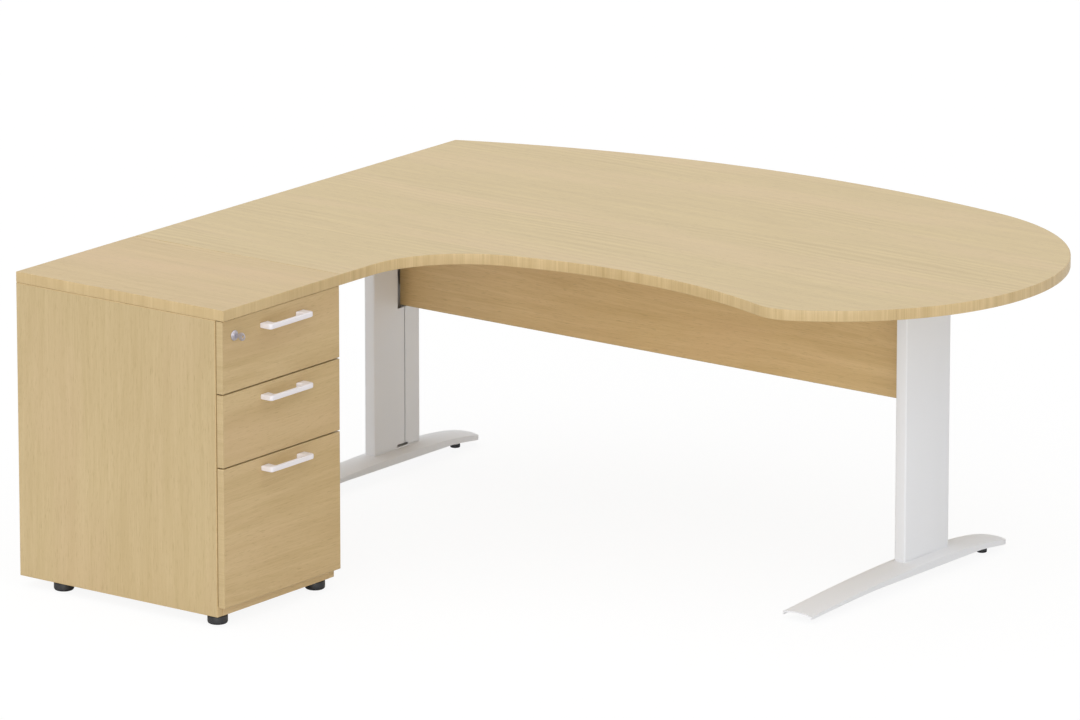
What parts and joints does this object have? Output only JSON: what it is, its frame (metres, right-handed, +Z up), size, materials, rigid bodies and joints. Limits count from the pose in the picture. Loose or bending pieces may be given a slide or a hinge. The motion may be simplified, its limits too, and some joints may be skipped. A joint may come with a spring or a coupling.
{
  "type": "office desk",
  "caption": "L-shaped office desk with a curved D-ended oak worktop on white cantilever legs, a modesty panel and a desk-high drawer pedestal with bow handles.",
  "frame": {"origin": "middle of the desk's bounding box on the floor plane", "axes": "+X along the desk's length from the pedestal end to the D end, the way the drawers open; +Y away from the sitter to the visitor's side; +Z up"},
  "size_m": [1.9, 1.833, 0.735],
  "materials": {
    "worktop_oak": "oak-grain laminate, satin, with matching edging",
    "carcass_oak": "oak-grain laminate, satin, vertical grain",
    "front_oak": "oak-grain laminate, satin, horizontal grain",
    "modesty_oak": "oak-grain laminate, satin, horizontal grain",
    "white_steel": "fine-textured white powder coat",
    "handle_white": "smooth white lacquer",
    "tray_grey": "grey powder coat",
    "zinc_steel": "bright zinc plate",
    "lock_nickel": "satin nickel plate",
    "key_nickel": "satin nickel plate",
    "black_foot": "moulded, fine matt grain",
    "black_glide": "moulded, fine matt grain"
  },
  "bodies": {
    "desk_frame": {"worktop_main": "worktop_oak", "pedestal_top": "worktop_oak", "pedestal_side_left": "carcass_oak", "pedestal_side_right": "carcass_oak", "pedestal_back": "carcass_oak", "pedestal_base": "carcass_oak", "leg_column_left": "white_steel", "leg_column_right": "white_steel", "leg_cover_left": "white_steel", "leg_cover_right": "white_steel", "top_arm_left": "white_steel", "top_arm_right": "white_steel", "foot_left": "white_steel", "foot_right": "white_steel", "modesty_panel": "modesty_oak", "end_bracket_left": "zinc_steel", "end_bracket_right": "zinc_steel", "top_bracket_left": "zinc_steel", "top_bracket_right": "zinc_steel", "joining_bracket_rear": "zinc_steel", "joining_bracket_front": "zinc_steel", "lock_bar_guide": "zinc_steel", "cabinet_runner_top_left": "zinc_steel", "cabinet_runner_top_right": "zinc_steel", "cabinet_runner_middle_left": "zinc_steel", "cabinet_runner_middle_right": "zinc_steel", "cabinet_runner_filing_left": "zinc_steel", "cabinet_runner_filing_right": "zinc_steel"},
    "drawer_top": {"drawer_front_top": "front_oak", "handle_top": "handle_white", "tray_top": "tray_grey", "lock_catch_top": "zinc_steel", "drawer_runner_top_left": "zinc_steel", "drawer_runner_top_right": "zinc_steel", "lock_housing": "lock_nickel"},
    "drawer_middle": {"drawer_front_middle": "front_oak", "handle_middle": "handle_white", "tray_middle": "tray_grey", "lock_catch_middle": "zinc_steel", "drawer_runner_middle_left": "zinc_steel", "drawer_runner_middle_right": "zinc_steel"},
    "drawer_filing": {"drawer_front_filing": "front_oak", "handle_filing": "handle_white", "tray_filing": "tray_grey", "lock_catch_filing": "zinc_steel", "drawer_runner_filing_left": "zinc_steel", "drawer_runner_filing_right": "zinc_steel"},
    "filing_middle_runners": {"middle_runner_filing_left": "zinc_steel", "middle_runner_filing_right": "zinc_steel"},
    "lock_barrel_and_key": {"lock_barrel": "lock_nickel", "key": "key_nickel"},
    "lock_bar": {"lock_bar": "zinc_steel"},
    "pedestal_foot_front_left": {"pedestal_foot_front_left": "black_foot"},
    "pedestal_foot_front_right": {"pedestal_foot_front_right": "black_foot"},
    "pedestal_foot_rear_left": {"pedestal_foot_rear_left": "black_foot"},
    "pedestal_foot_rear_right": {"pedestal_foot_rear_right": "black_foot"},
    "glide_left_front": {"glide_left_front": "black_glide"},
    "glide_left_rear": {"glide_left_rear": "black_glide"},
    "glide_right_front": {"glide_right_front": "black_glide"},
    "glide_right_rear": {"glide_right_rear": "black_glide"}
  },
  "joints": [
    {"name": "drawer_top_slide", "type": "slide", "parent": "desk_frame", "child": "drawer_top", "axis": [1, 0, 0], "range_m": [0, 0.375]},
    {"name": "drawer_middle_slide", "type": "slide", "parent": "desk_frame", "child": "drawer_middle", "axis": [1, 0, 0], "range_m": [0, 0.375]},
    {"name": "drawer_filing_slide", "type": "slide", "parent": "desk_frame", "child": "drawer_filing", "axis": [1, 0, 0], "range_m": [0, 0.44]},
    {"name": "filing_middle_runner_slide", "type": "slide", "parent": "desk_frame", "child": "filing_middle_runners", "axis": [1, 0, 0], "range_m": [0, 0.221]},
    {"name": "lock_turn", "type": "hinge", "parent": "drawer_top", "child": "lock_barrel_and_key", "pos_m": [-0.354, -0.8735, 0.6705], "axis": [-1, 0, 0], "range_deg": [0, 90]},
    {"name": "lock_bar_lift", "type": "slide", "parent": "desk_frame", "child": "lock_bar", "axis": [0, 0, 1], "range_m": [0, 0.0113]},
    {"name": "pedestal_foot_front_left_screw", "type": "slide", "parent": "desk_frame", "child": "pedestal_foot_front_left", "axis": [0, 0, -1], "range_m": [0, 0.012]},
    {"name": "pedestal_foot_front_right_screw", "type": "slide", "parent": "desk_frame", "child": "pedestal_foot_front_right", "axis": [0, 0, -1], "range_m": [0, 0.012]},
    {"name": "pedestal_foot_rear_left_screw", "type": "slide", "parent": "desk_frame", "child": "pedestal_foot_rear_left", "axis": [0, 0, -1], "range_m": [0, 0.012]},
    {"name": "pedestal_foot_rear_right_screw", "type": "slide", "parent": "desk_frame", "child": "pedestal_foot_rear_right", "axis": [0, 0, -1], "range_m": [0, 0.012]},
    {"name": "glide_left_front_screw", "type": "slide", "parent": "desk_frame", "child": "glide_left_front", "axis": [0, 0, -1], "range_m": [0, 0.008]},
    {"name": "glide_left_rear_screw", "type": "slide", "parent": "desk_frame", "child": "glide_left_rear", "axis": [0, 0, -1], "range_m": [0, 0.008]},
    {"name": "glide_right_front_screw", "type": "slide", "parent": "desk_frame", "child": "glide_right_front", "axis": [0, 0, -1], "range_m": [0, 0.008]},
    {"name": "glide_right_rear_screw", "type": "slide", "parent": "desk_frame", "child": "glide_right_rear", "axis": [0, 0, -1], "range_m": [0, 0.008]}
  ],
  "couplings": [
    {"joint": "filing_middle_runner_slide", "follows": "drawer_filing_slide", "ratio": 0.5},
    {"joint": "lock_turn", "follows": "lock_bar_lift", "rad_per_m": 138.8}
  ]
}
